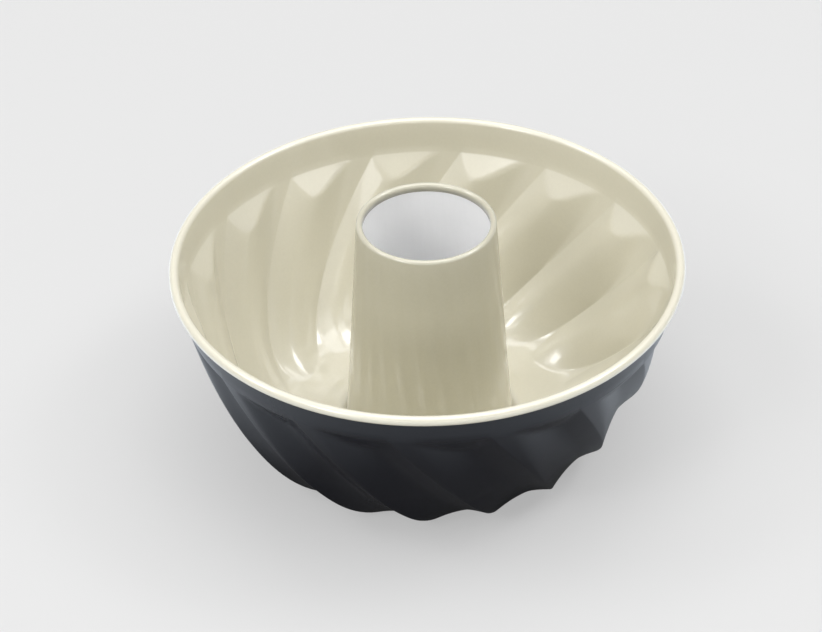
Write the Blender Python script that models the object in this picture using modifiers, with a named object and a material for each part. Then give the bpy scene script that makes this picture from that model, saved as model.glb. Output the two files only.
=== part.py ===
"""Gugelhupf pan: a deep-drawn ring shell with swirling flutes, and a centre tube flanged through its floor.

Sizes are in metres and angles in degrees. The pan's axis is the Z axis and the table is at Z = 0.
"""

import math

import bmesh
import bpy
from mathutils import Vector
from mathutils.geometry import interpolate_bezier

# Sheet and fit
SHEET = 0.0006
CLEARANCE = 0.0003

# Rolled rim and the smooth band under it
RIM_DIAMETER = 0.220
RIM_HEIGHT = 0.0866
BEAD_DIAMETER = 0.0042
BEAD_TURN = 300
BAND_HEIGHT = 0.0138
BAND_TAPER = 6

# Fluted wall, from the band to the flat ring of the floor
WALL_TAPER = 13.8
WALL_HANDLE = 0.0377
CORNER_HANDLE = 0.0233
FLUTES = 16
FLUTE_DEPTH = 0.0043
DEPTH_LOSS = 0.10
DEPTH_LOSS_POWER = 3
VALLEY_SHARE = 0.61
FLUSH_SHARE = 0.22
FLUSH_LENGTH = 0.0487
FACE_POWER = 2.1
STEEP_POWER = 1.5
SHELF_HEIGHT = 0.012
SINK_POWER = 10.4
SWIRL_ANGLE = 33.3
SWIRL_POWER = 7.3
FIRST_RIDGE = 13.2

# Floor, from its flat ring in to the hole for the tube
FLOOR_RING_WIDTH = 0.0111
DISH_WIDTH = 0.008
SEAT_WIDTH = 0.0055
SEAT_RISE = 0.0012

# Centre tube
TUBE_HEIGHT = 0.1071
TUBE_TOP_DIAMETER = 0.0597
TUBE_TAPER = 3.84
HEM_THICKNESS = 0.0028
HEM_LENGTH = 0.0020
FOOT_STEP = 0.0010
FOOT_FLANGE_WIDTH = 0.0042

# Fineness of the faceted surfaces
CURVE_POINTS = 257
STEPS_PER_FLUTE = 6
SHELF_ROWS = 3
WALL_ROWS = 11
END_LENGTH = 0.018
END_ROWS = 4
BEAD_STEPS = 8
TUBE_STEPS = 48
HEM_STEPS = 6
DISH_STEPS = 3
SHARP_ANGLE = 32

# Colours and gloss of the two coatings
CREAM = (0.66, 0.62, 0.46, 1.0)
CREAM_ROUGHNESS = 0.28
ANTHRACITE = (0.028, 0.026, 0.038, 1.0)
ANTHRACITE_ROUGHNESS = 0.35


def arc(centre, radius, start, end, steps):
    """Points of an arc in the radius and height plane, with its angles in degrees."""
    turns = [math.radians(start + (end - start) * step / steps) for step in range(steps + 1)]
    return [centre + radius * Vector((math.cos(turn), math.sin(turn))) for turn in turns]


def ease(share):
    """Rises from 0 to 1 with a level start and end."""
    return share * share * (3 - 2 * share)


def tube_radius(height):
    """Outer radius of the tapered tube wall at a height."""
    return TUBE_TOP_DIAMETER / 2 + (TUBE_HEIGHT - height) * math.tan(math.radians(TUBE_TAPER))


def neck_radius():
    """Outer radius of the tube's drawn-in neck, which passes through the shell's hole."""
    return tube_radius(SEAT_RISE) - FOOT_STEP


def hole_radius():
    """The shell's hole clears the neck of the tube."""
    return neck_radius() + CLEARANCE


def rim_points():
    """Outer side of the sheet from the curl's free end, over the rim, to the top of the band."""
    curl = BEAD_DIAMETER / 2 - SHEET
    centre = Vector(((RIM_DIAMETER - BEAD_DIAMETER) / 2, RIM_HEIGHT))
    band_side = 180 - BAND_TAPER
    return arc(centre, curl, band_side - BEAD_TURN, band_side, BEAD_STEPS)


def band_foot():
    """Lower edge of the band, where the flutes begin."""
    top = rim_points()[-1]
    foot_height = RIM_HEIGHT - BAND_HEIGHT
    drawn_in = (top.y - foot_height) * math.tan(math.radians(BAND_TAPER))
    return Vector((top.x - drawn_in, foot_height))


def floor_points():
    """Outer side of the floor: the flat ring that the pan stands on, then a shallow dish up to the tube's seat."""
    ring_edge = hole_radius() + SEAT_WIDTH + DISH_WIDTH
    points = [Vector((ring_edge + FLOOR_RING_WIDTH, 0.0))]
    for step in range(DISH_STEPS + 1):
        share = step / DISH_STEPS
        points.append(Vector((ring_edge - DISH_WIDTH * share, SEAT_RISE * ease(share))))
    points.append(Vector((hole_radius(), SEAT_RISE)))
    return points


def wall_curve():
    """Profile through the ridges, from the band's foot round the bottom corner to the floor's flat ring."""
    top = band_foot()
    slant = math.radians(WALL_TAPER)
    top_handle = top + WALL_HANDLE * Vector((-math.sin(slant), -math.cos(slant)))
    bottom = floor_points()[0]
    bottom_handle = bottom + Vector((CORNER_HANDLE, 0.0))
    return interpolate_bezier(top, top_handle, bottom_handle, bottom, CURVE_POINTS)


def lengths_along(curve):
    """Distance of each point of the curve from its start, measured along it."""
    lengths = [0.0]
    for before, after in zip(curve, curve[1:]):
        lengths.append(lengths[-1] + (after - before).length)
    return lengths


def swirl_along(curve, lengths):
    """How far the flutes have turned round the axis at each point of the curve, in radians."""
    turned = [0.0]
    for place in range(1, len(curve)):
        step = lengths[place] - lengths[place - 1]
        lean = math.tan(math.radians(SWIRL_ANGLE)) * (1 - (lengths[place] / lengths[-1]) ** SWIRL_POWER)
        turned.append(turned[-1] + step * lean / curve[place].x)
    return turned


def inward_normal(curve, place):
    """Unit vector across the sheet at a point of the curve, into the pan."""
    before = curve[max(place - 1, 0)]
    after = curve[min(place + 1, len(curve) - 1)]
    along = (after - before).normalized()
    return Vector((along.y, -along.x))


def long_face(share, length):
    """Depth across the long face, from 0 at the ridge to 1 in the valley.

    Under the band the face first stays flush with the wall. That flush strip narrows down the wall to nothing.
    """
    formed = min(length / FLUSH_LENGTH, 1.0)
    flush = FLUSH_SHARE * (1 - formed)
    across = max(0.0, (share - flush) / (VALLEY_SHARE - flush))
    return (1 - formed) * ease(across) + formed * (1 - (1 - across) ** FACE_POWER)


def flute_section(share, length):
    """Depth across one pitch: 0 at the crisp ridge, 1 in the soft valley, then a short steep face to the next ridge."""
    if share < VALLEY_SHARE:
        return long_face(share, length)
    across = (1 - share) / (1 - VALLEY_SHARE)
    return 1 - (1 - across) ** STEEP_POWER


def flute_depth(length, whole_length, share):
    """Depth of the flute at a distance down the wall.

    A sloping shelf closes its top under the band, and its lower end sinks into the floor with a rounded outline.
    """
    down = length / whole_length
    full = 1 - DEPTH_LOSS * down**DEPTH_LOSS_POWER
    section = max(0.0, flute_section(share, length) - down**SINK_POWER)
    return FLUTE_DEPTH * min(full * section, length / SHELF_HEIGHT)


def row_places(lengths):
    """Which points of the wall's curve carry a row of the mesh: close rows at both ends of the flutes."""
    end_start = lengths[-1] - END_LENGTH
    middle = end_start - SHELF_HEIGHT
    wanted = [SHELF_HEIGHT * row / SHELF_ROWS for row in range(SHELF_ROWS)]
    wanted += [SHELF_HEIGHT + middle * row / WALL_ROWS for row in range(WALL_ROWS)]
    wanted += [end_start + END_LENGTH * row / END_ROWS for row in range(END_ROWS + 1)]
    return [min(range(len(lengths)), key=lambda place: abs(lengths[place] - length)) for length in wanted]


def spun_surface(rows, steps):
    """Turns a profile of (point, place) rows round the axis and keeps each vertex's place on the wall's curve."""
    surface = bmesh.new()
    place_layer = surface.verts.layers.int.new("place")
    profile = []
    for point, place in rows:
        vertex = surface.verts.new((point.x, 0.0, point.y))
        vertex[place_layer] = place
        profile.append(vertex)
    edges = [surface.edges.new(pair) for pair in zip(profile, profile[1:])]
    bmesh.ops.spin(
        surface,
        geom=profile + edges,
        cent=(0, 0, 0),
        axis=(0, 0, 1),
        angle=math.tau,
        steps=steps,
        use_merge=True,
    )
    return surface, place_layer


def press_flutes(surface, place_layer, curve):
    """Moves each vertex into the pan by the flute's depth and round the axis by the swirl."""
    lengths = lengths_along(curve)
    turned = swirl_along(curve, lengths)
    pitch = math.tau / FLUTES
    for vertex in surface.verts:
        place = vertex[place_layer]
        angle = math.atan2(vertex.co.y, vertex.co.x)
        share = (angle / pitch) % 1.0
        depth = flute_depth(lengths[place], lengths[-1], share)
        pressed = Vector((vertex.co.xy.length, vertex.co.z)) + depth * inward_normal(curve, place)
        angle += math.radians(FIRST_RIDGE) + turned[place]
        vertex.co = (pressed.x * math.cos(angle), pressed.x * math.sin(angle), pressed.y)


def coating(name, colour, roughness):
    """A smooth baked coating on the sheet."""
    material = bpy.data.materials.new(name)
    material.use_nodes = True
    shader = material.node_tree.nodes["Principled BSDF"]
    shader.inputs["Base Color"].default_value = colour
    shader.inputs["Roughness"].default_value = roughness
    shader.inputs["Metallic"].default_value = 0.0
    material.diffuse_color = colour
    return material


def new_object(name, surface, collection, parent):
    """A named, smoothly shaded object from a bmesh surface."""
    mesh = bpy.data.meshes.new(name)
    surface.to_mesh(mesh)
    surface.free()
    mesh.shade_smooth()
    part = bpy.data.objects.new(name, mesh)
    part.parent = parent
    collection.objects.link(part)
    return part


def give_thickness(part, side):
    """Makes sheet metal of the surface. The side is -1 to grow against its normals and 1 to grow along them."""
    sheet = part.modifiers.new("sheet", "SOLIDIFY")
    sheet.thickness = SHEET
    sheet.offset = side
    sheet.use_even_offset = True
    sheet.use_quality_normals = True
    sheet.material_offset = 1
    sheet.material_offset_rim = 1


def make_shell(collection, parent, inside, outside):
    """The deep-drawn shell: rolled rim, band, swirling flutes, rounded corner and pierced floor."""
    curve = wall_curve()
    rows = [(point, 0) for point in rim_points()]
    rows += [(curve[place], place) for place in row_places(lengths_along(curve))]
    rows += [(point, len(curve) - 1) for point in floor_points()[1:]]
    surface, place_layer = spun_surface(rows, FLUTES * STEPS_PER_FLUTE)
    press_flutes(surface, place_layer, curve)
    shell = new_object("fluted_shell", surface, collection, parent)
    shell.data.materials.append(outside)
    shell.data.materials.append(inside)
    shell.data.set_sharp_from_angle(angle=math.radians(SHARP_ANGLE))
    give_thickness(shell, -1)
    return shell


def tube_points():
    """Outer side of the tube: the hem inside its top, the wall, the shoulder on the seat and the flange under it."""
    bend = HEM_THICKNESS / 2
    hem_centre = Vector((TUBE_TOP_DIAMETER / 2 - bend, TUBE_HEIGHT - bend))
    hem = arc(hem_centre, bend, 180, TUBE_TAPER, HEM_STEPS)
    shoulder_foot = SEAT_RISE + SHEET + CLEARANCE
    shoulder_top = shoulder_foot + FOOT_STEP
    flange_top = SEAT_RISE - CLEARANCE
    return [
        Vector((hem[0].x, hem[0].y - HEM_LENGTH)),
        *hem,
        Vector((tube_radius(shoulder_top), shoulder_top)),
        Vector((neck_radius(), shoulder_foot)),
        Vector((neck_radius(), flange_top)),
        Vector((neck_radius() + FOOT_FLANGE_WIDTH, flange_top)),
    ]


def make_tube(collection, parent, inside, outside):
    """The centre tube, turned round the axis and clamped to the shell's floor by its foot."""
    profile = bmesh.new()
    vertices = [profile.verts.new((point.x, 0.0, point.y)) for point in tube_points()]
    for pair in zip(vertices, vertices[1:]):
        profile.edges.new(pair)
    tube = new_object("centre_tube", profile, collection, parent)
    tube.data.materials.append(outside)
    tube.data.materials.append(inside)
    turn = tube.modifiers.new("turn", "SCREW")
    turn.axis = "Z"
    turn.steps = TUBE_STEPS
    turn.render_steps = TUBE_STEPS
    turn.use_merge_vertices = True
    turn.merge_threshold = 0.00001
    turn.use_smooth_shade = True
    give_thickness(tube, -1)
    return tube


def clear_scene():
    """Removes whatever the file holds."""
    for leftover in list(bpy.data.objects):
        bpy.data.objects.remove(leftover, do_unlink=True)


def make_pan():
    """The whole pan under one empty, in a collection of its own."""
    clear_scene()
    collection = bpy.data.collections.new("gugelhupf_pan")
    bpy.context.scene.collection.children.link(collection)
    pan = bpy.data.objects.new("pan_axis", None)
    collection.objects.link(pan)
    cream = coating("cream_coating", CREAM, CREAM_ROUGHNESS)
    anthracite = coating("anthracite_coating", ANTHRACITE, ANTHRACITE_ROUGHNESS)
    make_shell(collection, pan, cream, anthracite)
    make_tube(collection, pan, anthracite, cream)


make_pan()
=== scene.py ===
# %% [markdown]
# # A gugelhupf pan
#
# The object is a ring cake pan. One steel sheet is drawn into a deep bowl with sixteen swirling flutes
# and a rolled rim. A second sheet makes the tapered tube in its middle. The inside is coated cream and
# the outside anthracite.
#
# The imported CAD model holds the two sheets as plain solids. This lesson keeps their size and place,
# presses both sheets again in much finer steps, and gives each side of the sheet its own baked coating.
# Lengths are in metres and angles in degrees.

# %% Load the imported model
import functools
import math

import bmesh
import bpy
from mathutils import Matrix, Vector
from mathutils.geometry import interpolate_bezier


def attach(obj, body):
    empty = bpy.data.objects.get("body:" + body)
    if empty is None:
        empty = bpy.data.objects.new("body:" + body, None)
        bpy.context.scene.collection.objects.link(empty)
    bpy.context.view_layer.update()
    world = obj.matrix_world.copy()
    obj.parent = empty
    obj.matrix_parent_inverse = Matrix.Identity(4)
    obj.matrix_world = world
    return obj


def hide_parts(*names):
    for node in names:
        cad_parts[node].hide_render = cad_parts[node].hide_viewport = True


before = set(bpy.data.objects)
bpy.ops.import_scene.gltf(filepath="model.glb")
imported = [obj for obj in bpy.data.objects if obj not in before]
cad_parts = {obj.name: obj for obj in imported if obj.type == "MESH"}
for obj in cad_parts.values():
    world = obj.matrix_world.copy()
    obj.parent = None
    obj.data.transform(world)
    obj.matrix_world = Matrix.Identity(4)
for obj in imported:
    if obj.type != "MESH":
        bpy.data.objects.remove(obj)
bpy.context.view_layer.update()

# %% [markdown]
# ## The camera
#
# The photograph looks down into the pan from the front with a long lens, so near and far flutes have
# almost the same scale. A camera could be placed by eye, but the rim is a known circle, so its ellipse in
# the picture gives the distance and the tilt. A focal length in pixels becomes a lens in millimetres on a
# 36 mm sensor.

# %% Camera
PICTURE_WIDTH = 822
FOCAL_PIXELS = 2800
SENSOR_WIDTH = 36
CAMERA_PLACE = (0.0, -0.9651, 0.7903)
CAMERA_TURN = (52.767, 0.998, -0.326)

camera_data = bpy.data.cameras.new("camera")
camera_data.sensor_width = SENSOR_WIDTH
camera_data.lens = FOCAL_PIXELS / PICTURE_WIDTH * SENSOR_WIDTH
camera = bpy.data.objects.new("camera", camera_data)
camera.location = CAMERA_PLACE
camera.rotation_euler = [math.radians(turn) for turn in CAMERA_TURN]
bpy.context.scene.collection.objects.link(camera)
bpy.context.scene.camera = camera
print("lens in mm:", round(camera_data.lens, 1))

# %% [markdown]
# ## The profile of the shell
#
# A drawn bowl starts as a profile, a line in a half plane where x is the distance from the axis and y the
# height. It runs along the outer side of the sheet: from the free end of the rolled rim, over the bead,
# down the smooth band, along the ridges of the flutes, round the bottom corner and over the floor to the
# hole for the tube. A Bezier curve is the natural choice for the wall, because one smooth sweep joins the
# straight wall and the flat floor.
#
# The CAD model's rim is 220 mm wide over the corners of its facets and a little less over their flats.
# The rim here is round, so it is 219.85 mm wide and stays inside the CAD model's box.

# %% Measures of the sheet, the rim and the wall
SHEET = 0.0006
CLEARANCE = 0.0003
RIM_DIAMETER = 0.21985
RIM_HEIGHT = 0.0866
BEAD_DIAMETER = 0.0042
BEAD_TURN = 300
BAND_HEIGHT = 0.0138
BAND_TAPER = 6
WALL_TAPER = 13.8
WALL_HANDLE = 0.0377
CORNER_HANDLE = 0.0233
FLOOR_RING_WIDTH = 0.0111
DISH_WIDTH = 0.008
SEAT_WIDTH = 0.0055
SEAT_RISE = 0.0012
TUBE_HEIGHT = 0.1071
TUBE_TOP_DIAMETER = 0.0597
TUBE_TAPER = 3.84
FOOT_STEP = 0.0010


def arc(centre, radius, start, end, steps):
    """Points of an arc in the half plane, with its angles in degrees."""
    turns = [math.radians(start + (end - start) * step / steps) for step in range(steps + 1)]
    return [centre + radius * Vector((math.cos(turn), math.sin(turn))) for turn in turns]


def ease(share):
    """Rises from 0 to 1 with a level start and end."""
    return share * share * (3 - 2 * share)


def tube_radius(height):
    """Outer radius of the tapered tube wall at a height."""
    return TUBE_TOP_DIAMETER / 2 + (TUBE_HEIGHT - height) * math.tan(math.radians(TUBE_TAPER))


neck_radius = tube_radius(SEAT_RISE) - FOOT_STEP
hole_radius = neck_radius + CLEARANCE
ring_edge = hole_radius + SEAT_WIDTH + DISH_WIDTH
print("tube's hole radius in mm:", round(hole_radius * 1000, 2))

# %% Rows of the shell's profile
BEAD_ROWS = 16
BAND_ROWS = 4
DISH_ROWS = 5
CURVE_POINTS = 1025

bead_curl = BEAD_DIAMETER / 2 - SHEET
bead_centre = Vector(((RIM_DIAMETER - BEAD_DIAMETER) / 2, RIM_HEIGHT))
bead_points = arc(bead_centre, bead_curl, 180 - BAND_TAPER - BEAD_TURN, 180 - BAND_TAPER, BEAD_ROWS)

band_top = bead_points[-1]
band_foot_height = RIM_HEIGHT - BAND_HEIGHT
band_drawn_in = (band_top.y - band_foot_height) * math.tan(math.radians(BAND_TAPER))
band_foot = Vector((band_top.x - band_drawn_in, band_foot_height))
band_points = [band_top.lerp(band_foot, row / BAND_ROWS) for row in range(1, BAND_ROWS)]

floor_edge = Vector((ring_edge + FLOOR_RING_WIDTH, 0.0))
floor_points = [Vector((ring_edge + FLOOR_RING_WIDTH / 2, 0.0))]
for row in range(DISH_ROWS + 1):
    share = row / DISH_ROWS
    floor_points.append(Vector((ring_edge - DISH_WIDTH * share, SEAT_RISE * ease(share))))
floor_points.append(Vector((hole_radius, SEAT_RISE)))

wall_slant = math.radians(WALL_TAPER)
wall_handle = band_foot + WALL_HANDLE * Vector((-math.sin(wall_slant), -math.cos(wall_slant)))
corner_handle = floor_edge + Vector((CORNER_HANDLE, 0.0))
wall_curve = interpolate_bezier(band_foot, wall_handle, corner_handle, floor_edge, CURVE_POINTS)
wall_lengths = [0.0]
for before, after in zip(wall_curve, wall_curve[1:]):
    wall_lengths.append(wall_lengths[-1] + (after - before).length)
print("length of the fluted wall in mm:", round(wall_lengths[-1] * 1000, 1))

# %% [markdown]
# ## The flutes
#
# Each flute is pressed into the smooth wall. Across one pitch it leaves a crisp ridge, sinks slowly to a
# soft valley and comes back up a short steep face. A sloping shelf closes it under the band, and its
# lower end sinks into the floor with a rounded outline. The ridges swirl, because each row of the wall is
# turned a little further than the row above it, and less and less so towards the floor. One rule for the
# depth at every point of the wall gives all sixteen flutes, so they repeat exactly, as they do from a
# press tool. The rule is averaged over a small patch, which rounds the edges as the tool does.

# %% Depth of the flutes
FLUTES = 16
FLUTE_DEPTH = 0.0043
DEPTH_LOSS = 0.10
DEPTH_LOSS_POWER = 3
VALLEY_SHARE = 0.61
FLUSH_SHARE = 0.22
FLUSH_LENGTH = 0.0487
FACE_POWER = 2.1
STEEP_POWER = 1.5
SHELF_HEIGHT = 0.012
SINK_POWER = 10.4
ROUNDED_SHARE = 0.009
ROUNDED_LENGTH = 0.0006


def long_face(share, length):
    """Depth across the long face, 0 at the ridge and 1 in the valley. Near the band part of it is flush."""
    formed = min(max(length, 0.0) / FLUSH_LENGTH, 1.0)
    flush = FLUSH_SHARE * (1 - formed)
    across = max(0.0, (share - flush) / (VALLEY_SHARE - flush))
    return (1 - formed) * ease(across) + formed * (1 - (1 - across) ** FACE_POWER)


def flute_section(share, length):
    """Depth across one pitch, with the steep face on the way back to the next ridge."""
    share = share % 1.0
    if share < VALLEY_SHARE:
        return long_face(share, length)
    across = (1 - share) / (1 - VALLEY_SHARE)
    return 1 - (1 - across) ** STEEP_POWER


def flute_depth(share, length):
    """Depth of the flute at a distance down the wall, with its shelf above and its sinking end below."""
    down = min(max(length / wall_lengths[-1], 0.0), 1.0)
    full = 1 - DEPTH_LOSS * down**DEPTH_LOSS_POWER
    section = max(0.0, flute_section(share, length) - down**SINK_POWER)
    return FLUTE_DEPTH * max(0.0, min(full * section, length / SHELF_HEIGHT))


@functools.cache
def rounded_depth(share, length):
    """The depth averaged over a small patch, which rounds every edge of the pressing."""
    patch = [
        flute_depth(share + ROUNDED_SHARE * across, length + ROUNDED_LENGTH * along)
        for across in (-1, -0.5, 0, 0.5, 1)
        for along in (-1, 0, 1)
    ]
    return sum(patch) / len(patch)


print("depth half way down in mm:", round(rounded_depth(VALLEY_SHARE, wall_lengths[-1] / 2) * 1000, 2))

# %% Swirl of the flutes
SWIRL_ANGLE = 33.3
SWIRL_POWER = 7.3
FIRST_RIDGE = 13.2

full_lean = math.tan(math.radians(SWIRL_ANGLE))
wall_turns = [0.0]
for place in range(1, CURVE_POINTS):
    step = wall_lengths[place] - wall_lengths[place - 1]
    lean = full_lean * (1 - (wall_lengths[place] / wall_lengths[-1]) ** SWIRL_POWER)
    wall_turns.append(wall_turns[-1] + step * lean / wall_curve[place].x)
print("the ridges turn by", round(math.degrees(wall_turns[-1]), 1), "degrees down the wall")

# %% [markdown]
# ## Pressing the two sides of the sheet
#
# The sheet has a cream side and an anthracite side, so it is made as two thin layers that meet in its
# middle. Each layer starts as the profile, moved to its own side of the sheet and spun round the axis.
# Then every point is pushed in by the depth of the flute. The columns crowd together at the ridges, where
# the surface turns fastest.

# %% Rows and columns of the pressed surface
STEPS_PER_FLUTE = 24
COLUMNS = FLUTES * STEPS_PER_FLUTE
CROWDING = 0.75
SHELF_MARGIN = 0.0018
SHELF_ROWS = 20
WALL_ROWS = 52
END_LENGTH = 0.020
END_ROWS = 20


def crowded_share(step):
    """Share of the pitch at a column, with the columns closer together at the ridge."""
    even = step / STEPS_PER_FLUTE
    return even - CROWDING * math.sin(math.tau * even) / math.tau


def nearest_place(length):
    """Index of the wall's curve point at a distance down the wall."""
    return min(range(CURVE_POINTS), key=lambda place: abs(wall_lengths[place] - length))


def wall_places():
    """Which points of the wall's curve carry a row: close rows in the shelf and in the sinking ends."""
    end_start = wall_lengths[-1] - END_LENGTH
    shelf_end = SHELF_HEIGHT + SHELF_MARGIN
    wanted = [shelf_end * row / SHELF_ROWS for row in range(SHELF_ROWS)]
    wanted += [shelf_end + (end_start - shelf_end) * row / WALL_ROWS for row in range(WALL_ROWS)]
    wanted += [end_start + END_LENGTH * row / END_ROWS for row in range(END_ROWS + 1)]
    return [nearest_place(length) for length in wanted]


def shell_rows():
    """The whole profile as (point, place on the wall's curve); rows off the wall carry its nearer end."""
    rows = [(point, 0) for point in bead_points + band_points]
    rows += [(wall_curve[place], place) for place in wall_places()]
    rows += [(point, CURVE_POINTS - 1) for point in floor_points]
    return rows


def sideways(points):
    """Unit vectors across the sheet at each point of a profile, towards its other side."""
    across = []
    for index in range(len(points)):
        before = points[max(index - 1, 0)]
        after = points[min(index + 1, len(points) - 1)]
        along = (after - before).normalized()
        across.append(Vector((along.y, -along.x)))
    return across


print("rows:", len(shell_rows()), "columns:", COLUMNS)

# %% Spin and press
def spun(points, steps):
    """Turns a profile round the Z axis. Each vertex keeps the number of its row."""
    surface = bmesh.new()
    row_layer = surface.verts.layers.int.new("row")
    profile = []
    for row, point in enumerate(points):
        vertex = surface.verts.new((point.x, 0.0, point.y))
        vertex[row_layer] = row
        profile.append(vertex)
    edges = [surface.edges.new(pair) for pair in zip(profile, profile[1:])]
    bmesh.ops.spin(
        surface,
        geom=profile + edges,
        cent=(0, 0, 0),
        axis=(0, 0, 1),
        angle=math.tau,
        steps=steps,
        use_merge=True,
    )
    return surface


def pressed_side(distance):
    """One side of the fluted sheet, at a distance from its outer side."""
    rows = shell_rows()
    points = [point for point, place in rows]
    across = sideways(points)
    moved = [point + distance * side for point, side in zip(points, across)]
    surface = spun(moved, COLUMNS)
    row_layer = surface.verts.layers.int["row"]
    wall_start = len(bead_points) + len(band_points)
    wall_end = len(rows) - len(floor_points)
    for vertex in surface.verts:
        row = vertex[row_layer]
        place = rows[row][1]
        turns = math.atan2(vertex.co.y, vertex.co.x) / math.tau % 1.0
        flute, step = divmod(round(turns * COLUMNS), STEPS_PER_FLUTE)
        share = crowded_share(step)
        depth = rounded_depth(share, wall_lengths[place]) if wall_start <= row < wall_end else 0.0
        pressed = moved[row] + depth * across[row]
        angle = (flute + share) / FLUTES * math.tau + math.radians(FIRST_RIDGE) + wall_turns[place]
        vertex.co = (pressed.x * math.cos(angle), pressed.x * math.sin(angle), pressed.y)
    return surface


outer_surface = pressed_side(0.0)
inner_surface = pressed_side(SHEET)
print("vertices on each side:", len(outer_surface.verts))

# %% Layers with a thickness
LAYER = 0.00027


def layer(name, surface, turned_over, body="root"):
    """A closed thin layer that grows from its visible side into the sheet."""
    if turned_over:
        bmesh.ops.reverse_faces(surface, faces=surface.faces)
    mesh = bpy.data.meshes.new(name)
    surface.to_mesh(mesh)
    surface.free()
    mesh.shade_smooth()
    piece = bpy.data.objects.new(name, mesh)
    bpy.context.scene.collection.objects.link(piece)
    wall = piece.modifiers.new("layer", "SOLIDIFY")
    wall.thickness = LAYER
    wall.offset = -1
    wall.use_even_offset = True
    wall.use_quality_normals = True
    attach(piece, body)
    return piece


outer_skin = layer("outer_skin", outer_surface, turned_over=False)
inner_lining = layer("inner_lining", inner_surface, turned_over=True)
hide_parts("fluted_shell")
print("pieces:", outer_skin.name, inner_lining.name)

# %% [markdown]
# ## The centre tube
#
# The tube is a tapered sleeve with the cream coating on the cake's side. Its top edge is folded inwards
# into a round hem, so the cream goes over the edge and a little way down inside. At its foot a small
# shoulder rests on the floor and a flange under the floor holds it. It is the same kind of work as the
# shell: a profile, spun and layered.

# %% Tube
HEM_THICKNESS = 0.0028
HEM_LENGTH = 0.0020
FOOT_FLANGE_WIDTH = 0.0042
FOOT_FILLET = 0.0005
TUBE_COLUMNS = 192
HEM_ROWS = 12
TUBE_ROWS = 20
FILLET_ROWS = 4


def tube_profile():
    """The cake's side of the tube, from the hem's free end over the top and down to the flange's edge."""
    bend = HEM_THICKNESS / 2
    hem_centre = Vector((TUBE_TOP_DIAMETER / 2 - bend, TUBE_HEIGHT - bend))
    hem = arc(hem_centre, bend, 180, TUBE_TAPER, HEM_ROWS)
    hem_end = Vector((hem[0].x, hem[0].y - HEM_LENGTH))
    shoulder_foot = SEAT_RISE + SHEET + CLEARANCE
    shoulder_top = shoulder_foot + FOOT_STEP
    flange_top = SEAT_RISE - CLEARANCE
    wall_top = hem[-1]
    wall_foot = Vector((tube_radius(shoulder_top), shoulder_top))
    wall = [wall_top.lerp(wall_foot, row / TUBE_ROWS) for row in range(1, TUBE_ROWS + 1)]
    neck = Vector((neck_radius, shoulder_foot))
    fillet_centre = Vector((neck_radius + FOOT_FILLET, flange_top + FOOT_FILLET))
    turn = arc(fillet_centre, FOOT_FILLET, 180, 270, FILLET_ROWS)
    flange_edge = Vector((neck_radius + FOOT_FLANGE_WIDTH, flange_top))
    return [hem_end, *hem, *wall, neck, *turn, flange_edge]


def tube_side(distance):
    """One side of the tube's sheet, at a distance from the cake's side."""
    points = tube_profile()
    moved = [point + distance * side for point, side in zip(points, sideways(points))]
    return spun(moved, TUBE_COLUMNS)


tube_skin = layer("tube_skin", tube_side(0.0), turned_over=False)
tube_bore = layer("tube_bore", tube_side(SHEET), turned_over=True)
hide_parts("centre_tube")
print("tube pieces:", tube_skin.name, tube_bore.name)

# %% [markdown]
# ## The sprayed texture
#
# The coatings are sprayed and baked, which leaves a very fine orange peel that a reflection shows and a
# plain shader lacks. It could be modelled, but it is only a few thousandths of a millimetre deep, so a
# bump is right. They share it, so it is one node group that reads Object coordinates, which are
# metres on the object.

# %% Node group for the sprayed texture
PEEL_SCALE = 900
CLOUD_SCALE = 30


def new_group(name, inputs, outputs):
    """An empty shader node group with float sockets."""
    group = bpy.data.node_groups.new(name, "ShaderNodeTree")
    for socket, default in inputs.items():
        made = group.interface.new_socket(name=socket, in_out="INPUT", socket_type="NodeSocketFloat")
        made.default_value = default
    for socket in outputs:
        group.interface.new_socket(name=socket, in_out="OUTPUT", socket_type="NodeSocketFloat")
    return group, group.nodes.new("NodeGroupInput"), group.nodes.new("NodeGroupOutput")


def feed(tree, value, socket):
    """Sets a socket to a number, or links another node's output to it."""
    if isinstance(value, bpy.types.NodeSocket):
        tree.links.new(value, socket)
    else:
        socket.default_value = value


def noise(tree, vector, scale, detail, roughness):
    """A noise from 0 to 1 on the given coordinates. Its settings are numbers or other nodes' outputs."""
    node = tree.nodes.new("ShaderNodeTexNoise")
    tree.links.new(vector, node.inputs["Vector"])
    feed(tree, scale, node.inputs["Scale"])
    feed(tree, detail, node.inputs["Detail"])
    feed(tree, roughness, node.inputs["Roughness"])
    return node.outputs["Fac"]


def spray_group():
    """Orange peel height, a slow cloud in the coat and the mean of both as its shade, all from 0 to 1."""
    scales = {"Peel Scale": PEEL_SCALE, "Cloud Scale": CLOUD_SCALE}
    group, given, result = new_group("sprayed_coat", scales, ["Peel", "Cloud", "Shade"])
    place = group.nodes.new("ShaderNodeTexCoord").outputs["Object"]
    peel = noise(group, place, given.outputs["Peel Scale"], detail=2, roughness=0.5)
    cloud = noise(group, place, given.outputs["Cloud Scale"], detail=3, roughness=0.6)
    mean = group.nodes.new("ShaderNodeMix")
    group.links.new(peel, mean.inputs["A"])
    group.links.new(cloud, mean.inputs["B"])
    group.links.new(peel, result.inputs["Peel"])
    group.links.new(cloud, result.inputs["Cloud"])
    group.links.new(mean.outputs["Result"], result.inputs["Shade"])
    return group


sprayed_coat = spray_group()
print("node group:", sprayed_coat.name)

# %% [markdown]
# ## The marks of drawing
#
# A tube that is drawn over a punch keeps marks that run up and down. On the bare steel of the bore they
# are fine lines, and under the coating faint waves are left. Both are noise that a Mapping node stretches
# along Z, so they share a second node group and differ in scale and detail.

# %% Node group for the marks of drawing
UPRIGHT_STRETCH = 50


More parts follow.
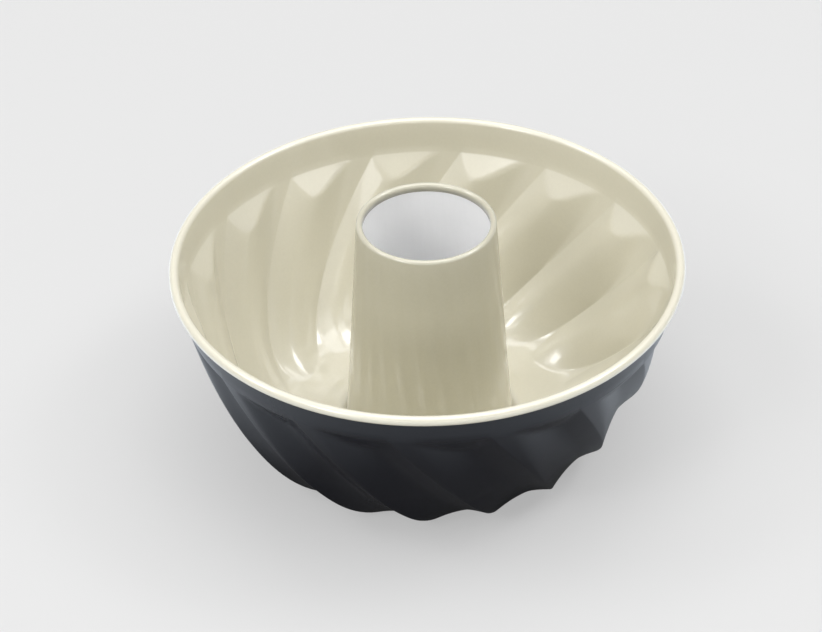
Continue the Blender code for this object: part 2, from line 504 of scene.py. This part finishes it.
def drawn_group():
    """Noise from 0 to 1 that is stretched along Z."""
    group, given, result = new_group("drawn_sheet", {"Scale": 1, "Detail": 1}, ["Marks"])
    place = group.nodes.new("ShaderNodeTexCoord").outputs["Object"]
    stretch = group.nodes.new("ShaderNodeMapping")
    stretch.inputs["Scale"].default_value = (1, 1, 1 / UPRIGHT_STRETCH)
    group.links.new(place, stretch.inputs["Vector"])
    scale, detail = given.outputs["Scale"], given.outputs["Detail"]
    marks = noise(group, stretch.outputs["Vector"], scale, detail, roughness=0.6)
    group.links.new(marks, result.inputs["Marks"])
    return group


drawn_sheet = drawn_group()
print("node group:", drawn_sheet.name)

# %% [markdown]
# ## Bare steel in the bore
#
# The tube's inside never touches the cake and stays bare, bright steel. The marks of drawing are far
# finer than any mesh, so they only move the colour and the roughness of a metal shader.

# %% Bore steel
STEEL_DARK = (0.95, 0.95, 0.95)
STEEL_BRIGHT = (0.98, 0.98, 0.98)


def new_material(name):
    """A node material and its Principled shader."""
    material = bpy.data.materials.new(name)
    material.use_nodes = True
    return material, material.node_tree, material.node_tree.nodes["Principled BSDF"]


def placed(tree, group, **settings):
    """A node group placed in a material with its own settings."""
    node = tree.nodes.new("ShaderNodeGroup")
    node.node_tree = group
    for name, value in settings.items():
        node.inputs[name].default_value = value
    return node


def between(tree, share, low, high, start=0.0, end=1.0):
    """A Map Range node that turns what runs from start to end into a value between low and high."""
    node = tree.nodes.new("ShaderNodeMapRange")
    node.inputs["From Min"].default_value = start
    node.inputs["From Max"].default_value = end
    node.inputs["To Min"].default_value = low
    node.inputs["To Max"].default_value = high
    tree.links.new(share, node.inputs["Value"])
    return node.outputs["Result"]


def blended_colour(tree, share, low, high):
    """A colour that moves between two colours with a share of 0 to 1."""
    node = tree.nodes.new("ShaderNodeMix")
    node.data_type = "RGBA"
    node.inputs["A"].default_value = (*low, 1.0)
    node.inputs["B"].default_value = (*high, 1.0)
    tree.links.new(share, node.inputs["Factor"])
    return node.outputs["Result"]


def drawn_steel():
    """Bright steel with fine upright drawing marks."""
    material, tree, shader = new_material("bore_steel")
    marks = placed(tree, drawn_sheet, Scale=900, Detail=3).outputs["Marks"]
    tree.links.new(blended_colour(tree, marks, STEEL_DARK, STEEL_BRIGHT), shader.inputs["Base Color"])
    tree.links.new(between(tree, marks, low=0.80, high=0.88), shader.inputs["Roughness"])
    shader.inputs["Metallic"].default_value = 1.0
    return material


tube_bore.data.materials.append(drawn_steel())
print("bore material:", tube_bore.data.materials[0].name)

# %% [markdown]
# ## The coatings
#
# A baked coating is a Principled shader. The cream has a clear glossy top, and the anthracite is satin
# without one. The peel and the cloud move the colour by a few per cent, and the cloud moves the roughness
# too, as an uneven spray does. The tube gets a darker copy of the cream, which is painted shade for the
# shade that falls on it, and its waves show in what it reflects.

# %% Coating materials
CREAM = ((0.606, 0.578, 0.468), (0.686, 0.656, 0.536))
# The tube's cream is a darker copy of the shell's cream: painted shade.
TUBE_CREAM_PAINTED_SHADE = ((0.445, 0.423, 0.324), (0.517, 0.491, 0.383))
CREAM_ROUGHNESS = (0.27, 0.33)
CREAM_PEEL = 0.000003
TUBE_WAVES = 0.00006
ANTHRACITE = ((0.0045, 0.0049, 0.0078), (0.0055, 0.0059, 0.0092))
ANTHRACITE_ROUGHNESS = (0.26, 0.30)
ANTHRACITE_PEEL = 0.000006


def bumped(tree, height, depth, before=None):
    """A Bump node's normal for a height of 0 to 1 and a depth in metres, over an earlier bump if given."""
    node = tree.nodes.new("ShaderNodeBump")
    node.inputs["Distance"].default_value = depth
    tree.links.new(height, node.inputs["Height"])
    if before is not None:
        tree.links.new(before, node.inputs["Normal"])
    return node.outputs["Normal"]


def coating(name, colours, roughness, peel_depth, wave_depth=0.0):
    """A sprayed coating: two near colours, a range of roughness, its orange peel and the sheet's waves."""
    material, tree, shader = new_material(name)
    spray = placed(tree, sprayed_coat)
    tree.links.new(blended_colour(tree, spray.outputs["Shade"], *colours), shader.inputs["Base Color"])
    tree.links.new(between(tree, spray.outputs["Cloud"], *roughness), shader.inputs["Roughness"])
    waves = None
    if wave_depth:
        drawn = placed(tree, drawn_sheet, Scale=350, Detail=1)
        waves = bumped(tree, drawn.outputs["Marks"], wave_depth)
    tree.links.new(bumped(tree, spray.outputs["Peel"], peel_depth, waves), shader.inputs["Normal"])
    return material, shader


def cream(name, colours, wave_depth=0.0):
    """The cream coating with its clear glossy top."""
    material, shader = coating(name, colours, CREAM_ROUGHNESS, CREAM_PEEL, wave_depth)
    shader.inputs["Coat Weight"].default_value = 1.0
    shader.inputs["Coat IOR"].default_value = 1.6
    shader.inputs["Coat Roughness"].default_value = 0.07
    return material


def anthracite(name, colours):
    """The satin anthracite coating."""
    material, shader = coating(name, colours, ANTHRACITE_ROUGHNESS, ANTHRACITE_PEEL)
    shader.inputs["Specular IOR Level"].default_value = 0.34
    return material


inner_lining.data.materials.append(cream("cream_coating", CREAM))
tube_skin.data.materials.append(cream("tube_cream_painted_shade", TUBE_CREAM_PAINTED_SHADE, TUBE_WAVES))
outer_skin.data.materials.append(anthracite("anthracite_coating", ANTHRACITE))
print("coatings:", [piece.data.materials[0].name for piece in (inner_lining, tube_skin, outer_skin)])

# %% [markdown]
# ## Floor, light and background
#
# The pan stands on a pale floor under far soft boxes, as in a plain studio. The boxes overhead light it
# evenly, and the smaller ones at the sides draw the bright windows at the ends of the flutes. Each of
# those has a brighter middle, which gives its reflection a soft edge.
#
# A product picture keeps only a trace of shadow, so the camera sees half of the floor's own light and
# half of the plain background. For the rays that the satin outside mirrors, the floor has a painted colour:
# a cool, bright painted sheen far off, and painted shade close in front of the pan where its shadow falls.

# %% Floor material
FLOOR_DARK = (0.607, 0.607, 0.607)
FLOOR_PALE = (0.61, 0.61, 0.61)
FLOOR_ROUGHNESS = 0.9
MOTTLE_SCALE = 6
BACKGROUND = 0.79
BACKGROUND_SHARE = 0.5
# What the pan mirrors of the floor is painted: a cool sheen far off, and shade close in front where the pan's
# shadow falls.
MIRRORED_FAR_PAINTED_SHEEN = (0.84, 0.91, 0.99)
MIRRORED_NEAR_PAINTED_SHADE = (0.2, 0.2, 0.2)
PAINTED_SHADE_PLACE = (0.0, -0.06, 0.0)
PAINTED_SHADE_RADII = (0.065, 0.145)


def floor_colour(tree, path):
    """The floor's colour with a faint mottle, and for mirroring rays painted shade in front and a cool
    painted sheen far off.
    """
    place = tree.nodes.new("ShaderNodeTexCoord").outputs["Object"]
    mottle = noise(tree, place, MOTTLE_SCALE, detail=2, roughness=0.5)
    away = tree.nodes.new("ShaderNodeVectorMath")
    away.operation = "DISTANCE"
    away.inputs[1].default_value = PAINTED_SHADE_PLACE
    tree.links.new(place, away.inputs[0])
    reach = between(tree, away.outputs["Value"], 0.0, 1.0, *PAINTED_SHADE_RADII)
    seen = tree.nodes.new("ShaderNodeMix")
    seen.data_type = "RGBA"
    tree.links.new(path.outputs["Is Glossy Ray"], seen.inputs["Factor"])
    tree.links.new(blended_colour(tree, mottle, FLOOR_DARK, FLOOR_PALE), seen.inputs["A"])
    tree.links.new(blended_colour(tree, reach, MIRRORED_NEAR_PAINTED_SHADE, MIRRORED_FAR_PAINTED_SHEEN), seen.inputs["B"])
    return seen.outputs["Result"]


def floor_material():
    """The floor as it is lit, mixed for the camera with the plain background."""
    material, tree, shader = new_material("pale_floor")
    path = tree.nodes.new("ShaderNodeLightPath")
    tree.links.new(floor_colour(tree, path), shader.inputs["Base Color"])
    shader.inputs["Roughness"].default_value = FLOOR_ROUGHNESS
    shader.inputs["Specular IOR Level"].default_value = 0.0
    plain = tree.nodes.new("ShaderNodeEmission")
    plain.inputs["Strength"].default_value = BACKGROUND
    share = between(tree, path.outputs["Is Camera Ray"], 0.0, BACKGROUND_SHARE)
    mixed = tree.nodes.new("ShaderNodeMixShader")
    tree.links.new(share, mixed.inputs["Fac"])
    tree.links.new(shader.outputs["BSDF"], mixed.inputs[1])
    tree.links.new(plain.outputs["Emission"], mixed.inputs[2])
    tree.links.new(mixed.outputs["Shader"], tree.nodes["Material Output"].inputs["Surface"])
    return material


pale_floor = floor_material()
print("floor material:", pale_floor.name)

# %% Floor
FLOOR_SIZE = 8.0
FLOOR_CELLS = 8
FLOOR_GAP = 0.00005


def make_floor():
    """A wide flat sheet, a hair below the ring that the pan rests on."""
    surface = bmesh.new()
    bmesh.ops.create_grid(surface, x_segments=FLOOR_CELLS, y_segments=FLOOR_CELLS, size=FLOOR_SIZE / 2)
    bmesh.ops.translate(surface, vec=(0, 0, -FLOOR_GAP), verts=surface.verts)
    mesh = bpy.data.meshes.new("floor")
    surface.to_mesh(mesh)
    surface.free()
    mesh.materials.append(pale_floor)
    floor = bpy.data.objects.new("floor", mesh)
    bpy.context.scene.collection.objects.link(floor)


make_floor()
print("floor is", FLOOR_SIZE, "m wide")

# %% Sky
SKY_LIGHT = 0.2


def larger(tree, first, second):
    """The larger one of two outputs."""
    node = tree.nodes.new("ShaderNodeMath")
    node.operation = "MAXIMUM"
    tree.links.new(first, node.inputs[0])
    tree.links.new(second, node.inputs[1])
    return node.outputs["Value"]


def make_sky():
    """An even sky: one level lights the object, and another is what the camera and reflections see."""
    world = bpy.data.worlds.new("studio")
    world.use_nodes = True
    tree = world.node_tree
    background = tree.nodes["Background"]
    background.inputs["Color"].default_value = (1.0, 1.0, 1.0, 1.0)
    path = tree.nodes.new("ShaderNodeLightPath")
    mirrored = larger(tree, path.outputs["Is Glossy Ray"], path.outputs["Is Transmission Ray"])
    seen = larger(tree, path.outputs["Is Camera Ray"], mirrored)
    tree.links.new(between(tree, seen, SKY_LIGHT, BACKGROUND), background.inputs["Strength"])
    bpy.context.scene.world = world


make_sky()
print("sky light:", SKY_LIGHT, "background:", BACKGROUND)

# %% Lamps
LAMP_DISTANCE = 3.0
LAMP_TARGET = Vector((0, 0, 0.05))


def lamp(name, azimuth, elevation, width, height, brightness):
    """A far soft box aimed at the pan. Its place and size are angles seen from the pan; 1 is a white lamp."""
    data = bpy.data.lights.new(name, "AREA")
    data.shape = "RECTANGLE"
    data.size = 2 * LAMP_DISTANCE * math.tan(math.radians(width / 2))
    data.size_y = 2 * LAMP_DISTANCE * math.tan(math.radians(height / 2))
    data.energy = math.pi * data.size * data.size_y * brightness
    turn, rise = math.radians(azimuth), math.radians(elevation)
    towards = Vector((math.cos(rise) * math.cos(turn), math.cos(rise) * math.sin(turn), math.sin(rise)))
    box = bpy.data.objects.new(name, data)
    box.location = LAMP_TARGET + LAMP_DISTANCE * towards
    box.rotation_euler = (-towards).to_track_quat("-Z", "Y").to_euler()
    bpy.context.scene.collection.objects.link(box)


lamp("top_box", -90, 88, 36, 36, 2.9)
lamp("back_box", 90, 60, 50, 24, 2.0)
lamp("front_top_box", -90, 68, 44, 20, 0.8)
lamp("right_box", 2, 56, 32, 26, 2.2)
lamp("right_box_middle", 10, 52, 18, 14, 5.0)
lamp("front_right_box", -58, 64, 30, 18, 0.6)
lamp("front_right_box_middle", -40, 58, 16, 10, 2.4)
lamp("left_box", 180, 48, 26, 24, 1.9)
lamp("left_box_middle", 179, 47, 15, 14, 4.6)
lamp("front_left_box", -139, 44, 22, 18, 3.6)
lamp("front_left_box_middle", -135, 38, 12, 10, 8.0)
lamp("front_left_strip", -120, 30, 28, 14, 1.3)
lamp("front_right_strip", -30, 30, 28, 14, 1.1)
lamp("low_front_strip", -90, 14, 80, 14, 2.1)
print("lamps:", [light.name for light in bpy.data.lights])

# %% View transform
bpy.context.scene.view_settings.view_transform = "Standard"
